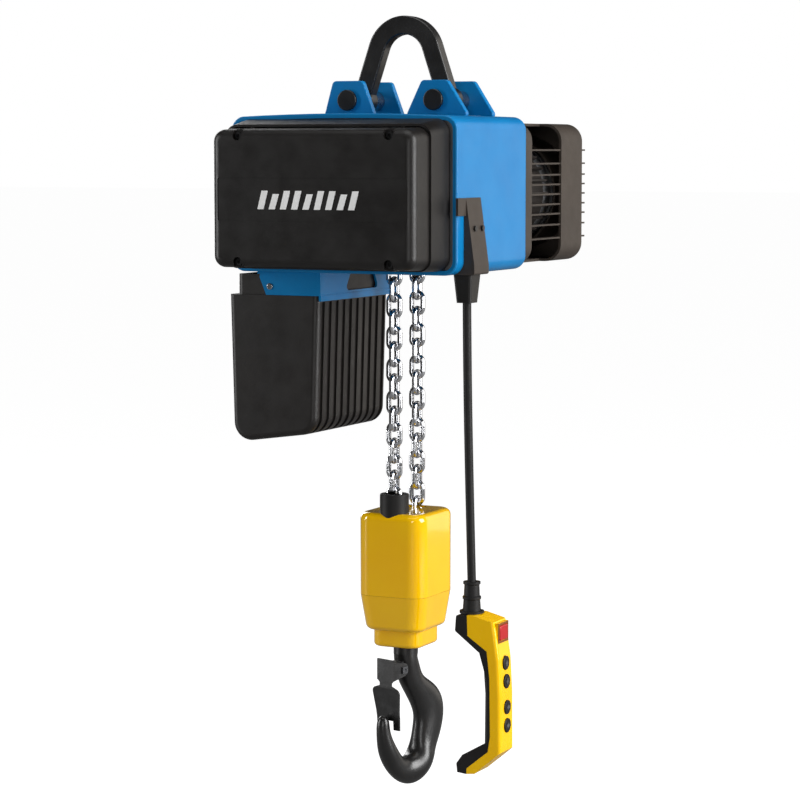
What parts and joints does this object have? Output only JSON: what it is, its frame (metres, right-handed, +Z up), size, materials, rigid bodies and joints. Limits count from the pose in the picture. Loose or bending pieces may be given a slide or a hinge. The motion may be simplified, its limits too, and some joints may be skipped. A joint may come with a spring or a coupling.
{
  "type": "electric chain hoist",
  "caption": "Electric chain hoist hung from a shackle, with geared motor, load chain over a sheave block, swivel hook with latch, chain container and push-button pendant.",
  "frame": {"origin": "where a crane's hook bears on the inside of the suspension shackle's crown", "axes": "+Z up along the load line, the front with the control cover faces -Y, +X to the right"},
  "size_m": [0.3922, 0.531, 1.0132],
  "materials": {
    "blue_paint": "gloss",
    "black_cover": "satin",
    "fan_cover_grey": "matte",
    "black_plastic": "matte",
    "forged_black": "satin",
    "bright_steel": "satin",
    "chain_nickel": "polished",
    "gear_steel": "ground",
    "cast_aluminium": "cast",
    "copper_iron": "varnished",
    "yellow_gloss": "gloss",
    "rubber_black": "matte",
    "pendant_yellow": "satin",
    "stop_red": "gloss",
    "controls_beige": "matte"
  },
  "bodies": {
    "hoist": {"housing": "blue_paint", "suspension_lugs": "blue_paint", "gearbox_cover": "cast_aluminium", "cover_ring": "black_cover", "front_cover": "black_cover", "case_screws": "bright_steel", "motor_flange": "cast_aluminium", "motor_frame": "cast_aluminium", "stator": "copper_iron", "brake_coil": "cast_aluminium", "fan_cover": "fan_cover_grey", "fan_guard": "black_plastic", "shaft_bearings": "gear_steel", "chain_guide": "black_plastic", "chain_anchor": "forged_black", "shackle": "forged_black", "shackle_pins": "forged_black", "shackle_spacers": "bright_steel", "shackle_snap_rings": "gear_steel", "container_bracket": "blue_paint", "chain_container": "black_plastic", "container_rivets": "bright_steel", "slack_chain": "chain_nickel", "cable_bracket": "fan_cover_grey", "cable_gland": "black_plastic", "control_electrics": "controls_beige", "power_gland": "black_plastic"},
    "motor_rotor": {"motor_shaft": "gear_steel", "rotor": "copper_iron", "cooling_fan": "black_plastic", "brake_disc": "gear_steel"},
    "armature": {"brake_armature": "gear_steel"},
    "intermediate": {"intermediate_gear": "gear_steel"},
    "wheel": {"load_wheel": "gear_steel", "output_gear": "gear_steel"},
    "load_chain": {"front_chain_fall": "chain_nickel", "rear_chain_fall": "chain_nickel"},
    "hook_block": {"block_upper_shell": "yellow_gloss", "block_lower_shell": "yellow_gloss", "block_screws": "bright_steel", "chain_buffer": "rubber_black", "sheave_axle": "gear_steel", "hook_crosshead": "gear_steel", "thrust_bearing": "gear_steel"},
    "load_hook": {"hook": "forged_black", "hook_nut": "gear_steel", "latch_pin": "gear_steel", "latch_spring": "gear_steel"},
    "hook_latch": {"latch": "forged_black"},
    "pendant": {"control_cable": "rubber_black", "cable_boot": "rubber_black", "pendant_rear_shell": "black_plastic", "pendant_front_shell": "pendant_yellow", "switch_block": "controls_beige"},
    "stop": {"stop_button": "stop_red"},
    "up": {"up_button": "black_plastic"},
    "down": {"down_button": "black_plastic"},
    "forward": {"forward_button": "black_plastic"},
    "reverse": {"reverse_button": "black_plastic"},
    "block_sheave": {"sheave": "gear_steel"}
  },
  "joints": [
    {"name": "hoist_lift", "type": "slide", "parent": "hoist", "child": "hook_block", "axis": [0, 0, 1], "range_m": [-0.12, 0.13]},
    {"name": "chain_run", "type": "slide", "parent": "hoist", "child": "load_chain", "axis": [0, 0, 1], "range_m": [-0.073, 0.079]},
    {"name": "wheel_spin", "type": "hinge", "parent": "hoist", "child": "wheel", "pos_m": [-0.041, 0, -0.2065], "axis": [0, 1, 0], "continuous": true},
    {"name": "intermediate_spin", "type": "hinge", "parent": "hoist", "child": "intermediate", "pos_m": [0.00917, 0, -0.17359], "axis": [0, 1, 0], "continuous": true},
    {"name": "motor_spin", "type": "hinge", "parent": "hoist", "child": "motor_rotor", "pos_m": [0.038, 0, -0.2065], "axis": [0, 1, 0], "continuous": true},
    {"name": "brake_release", "type": "slide", "parent": "hoist", "child": "armature", "axis": [0, -1, 0], "range_m": [0, 0.0005], "stiffness_N_per_m": 4000, "springref_m": -0.002},
    {"name": "sheave_spin", "type": "hinge", "parent": "hook_block", "child": "block_sheave", "pos_m": [0, 0, -0.676], "axis": [1, 0, 0], "continuous": true},
    {"name": "hook_swivel", "type": "hinge", "parent": "hook_block", "child": "load_hook", "pos_m": [0, 0, -0.76], "axis": [0, 0, 1], "continuous": true},
    {"name": "latch_open", "type": "hinge", "parent": "load_hook", "child": "hook_latch", "pos_m": [-0.00551, -0.01923, -0.83], "axis": [0.9613, -0.2756, 0], "range_deg": [0, 25], "stiffness_Nm_per_rad": 0.15, "springref_deg": -34.38},
    {"name": "pendant_swing", "type": "hinge", "parent": "hoist", "child": "pendant", "pos_m": [0.1325, -0.098, -0.339], "axis": [0, -1, 0], "range_deg": [-4, 25]},
    {"name": "stop_press", "type": "slide", "parent": "pendant", "child": "stop", "axis": [-1, 0, 0], "range_m": [0, 0.002], "stiffness_N_per_m": 900, "springref_m": -0.001},
    {"name": "up_press", "type": "slide", "parent": "pendant", "child": "up", "axis": [-1, 0, 0], "range_m": [0, 0.002], "stiffness_N_per_m": 500, "springref_m": -0.001},
    {"name": "down_press", "type": "slide", "parent": "pendant", "child": "down", "axis": [-1, 0, 0], "range_m": [0, 0.002], "stiffness_N_per_m": 500, "springref_m": -0.001},
    {"name": "forward_press", "type": "slide", "parent": "pendant", "child": "forward", "axis": [-1, 0, 0], "range_m": [0, 0.002], "stiffness_N_per_m": 500, "springref_m": -0.001},
    {"name": "reverse_press", "type": "slide", "parent": "pendant", "child": "reverse", "axis": [-1, 0, 0], "range_m": [0, 0.002], "stiffness_N_per_m": 500, "springref_m": -0.001}
  ],
  "couplings": [
    {"joint": "chain_run", "follows": "hoist_lift", "ratio": 0.6},
    {"joint": "wheel_spin", "follows": "hoist_lift", "rad_per_m": -14.634},
    {"joint": "intermediate_spin", "follows": "hoist_lift", "rad_per_m": 58.536},
    {"joint": "motor_spin", "follows": "hoist_lift", "rad_per_m": -256.66},
    {"joint": "sheave_spin", "follows": "hoist_lift", "rad_per_m": 29.24}
  ]
}
